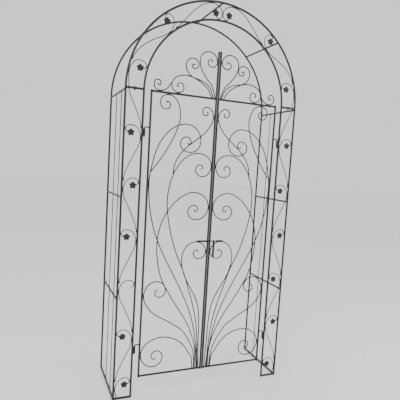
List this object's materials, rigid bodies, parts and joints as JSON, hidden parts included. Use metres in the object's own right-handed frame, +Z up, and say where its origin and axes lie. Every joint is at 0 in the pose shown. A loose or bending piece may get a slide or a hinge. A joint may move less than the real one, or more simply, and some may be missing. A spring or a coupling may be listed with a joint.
{
  "type": "garden arch with gate",
  "caption": "Tubular metal trellis arch with scrolled columns, a semicircular top and a two-leaf scrolled gate on lift-off pin hinges, closed by a sliding bolt.",
  "frame": {"origin": "on the ground, at the middle of the footprint", "axes": "+Z up, -Y towards the front with the gate, +X to the right seen from the front"},
  "size_m": [1.1628, 0.4603, 2.4653],
  "materials": {
    "frame": "satin",
    "wire": "satin",
    "rosette": "satin",
    "hinge": "satin",
    "latch": "satin",
    "fastener": "satin",
    "plug": "matte"
  },
  "bodies": {
    "frame": {"apex_tie": "frame", "arch_rosettes": "rosette", "clamp_bolts": "fastener", "clamp_nuts": "fastener", "front_inner_arch": "frame", "front_left_inner_post": "frame", "front_left_outer_post": "frame", "front_outer_arch": "frame", "front_right_inner_post": "frame", "front_right_outer_post": "frame", "left_arch_foot_plate": "frame", "left_arch_scrolls": "wire", "left_column_base_rail": "frame", "left_column_rosettes": "rosette", "left_column_scrolls": "wire", "left_column_top_plate": "frame", "left_hinge_barrels": "hinge", "left_side_ties": "frame", "left_side_wires": "wire", "post_foot_plugs": "plug", "rear_arch": "frame", "rear_left_post": "frame", "rear_right_post": "frame", "right_arch_foot_plate": "frame", "right_arch_scrolls": "wire", "right_column_base_rail": "frame", "right_column_rosettes": "rosette", "right_column_scrolls": "wire", "right_column_top_plate": "frame", "right_hinge_barrels": "hinge", "right_side_ties": "frame", "right_side_wires": "wire", "shoulder_ties": "frame"},
    "left_gate": {"latch_keeper": "latch", "left_gate_bottom_rail": "frame", "left_gate_fan_scrolls": "wire", "left_gate_hinge_pins": "hinge", "left_gate_hinge_stile": "frame", "left_gate_long_scrolls": "wire", "left_gate_lower_scrolls": "wire", "left_gate_meeting_stile": "frame", "left_gate_plugs": "plug", "left_gate_stile_dome": "frame", "left_gate_top_rail": "frame", "left_gate_upper_scrolls": "wire"},
    "right_gate": {"latch_guides": "latch", "right_gate_bottom_rail": "frame", "right_gate_fan_scrolls": "wire", "right_gate_hinge_pins": "hinge", "right_gate_hinge_stile": "frame", "right_gate_long_scrolls": "wire", "right_gate_lower_scrolls": "wire", "right_gate_meeting_stile": "frame", "right_gate_plugs": "plug", "right_gate_stile_dome": "frame", "right_gate_top_rail": "frame", "right_gate_upper_scrolls": "wire"},
    "latch": {"latch_bolt": "latch", "latch_handle": "latch"}
  },
  "joints": [
    {"name": "left_gate_hinge", "type": "hinge", "parent": "frame", "child": "left_gate", "pos_m": [-0.4553, -0.2235, 0], "axis": [0, 0, 1], "range_deg": [-110, 90]},
    {"name": "right_gate_hinge", "type": "hinge", "parent": "frame", "child": "right_gate", "pos_m": [0.4553, -0.2235, 0], "axis": [0, 0, -1], "range_deg": [-110, 90]},
    {"name": "latch_slide", "type": "slide", "parent": "right_gate", "child": "latch", "axis": [-1, 0, 0], "range_m": [0, 0.022]}
  ]
}
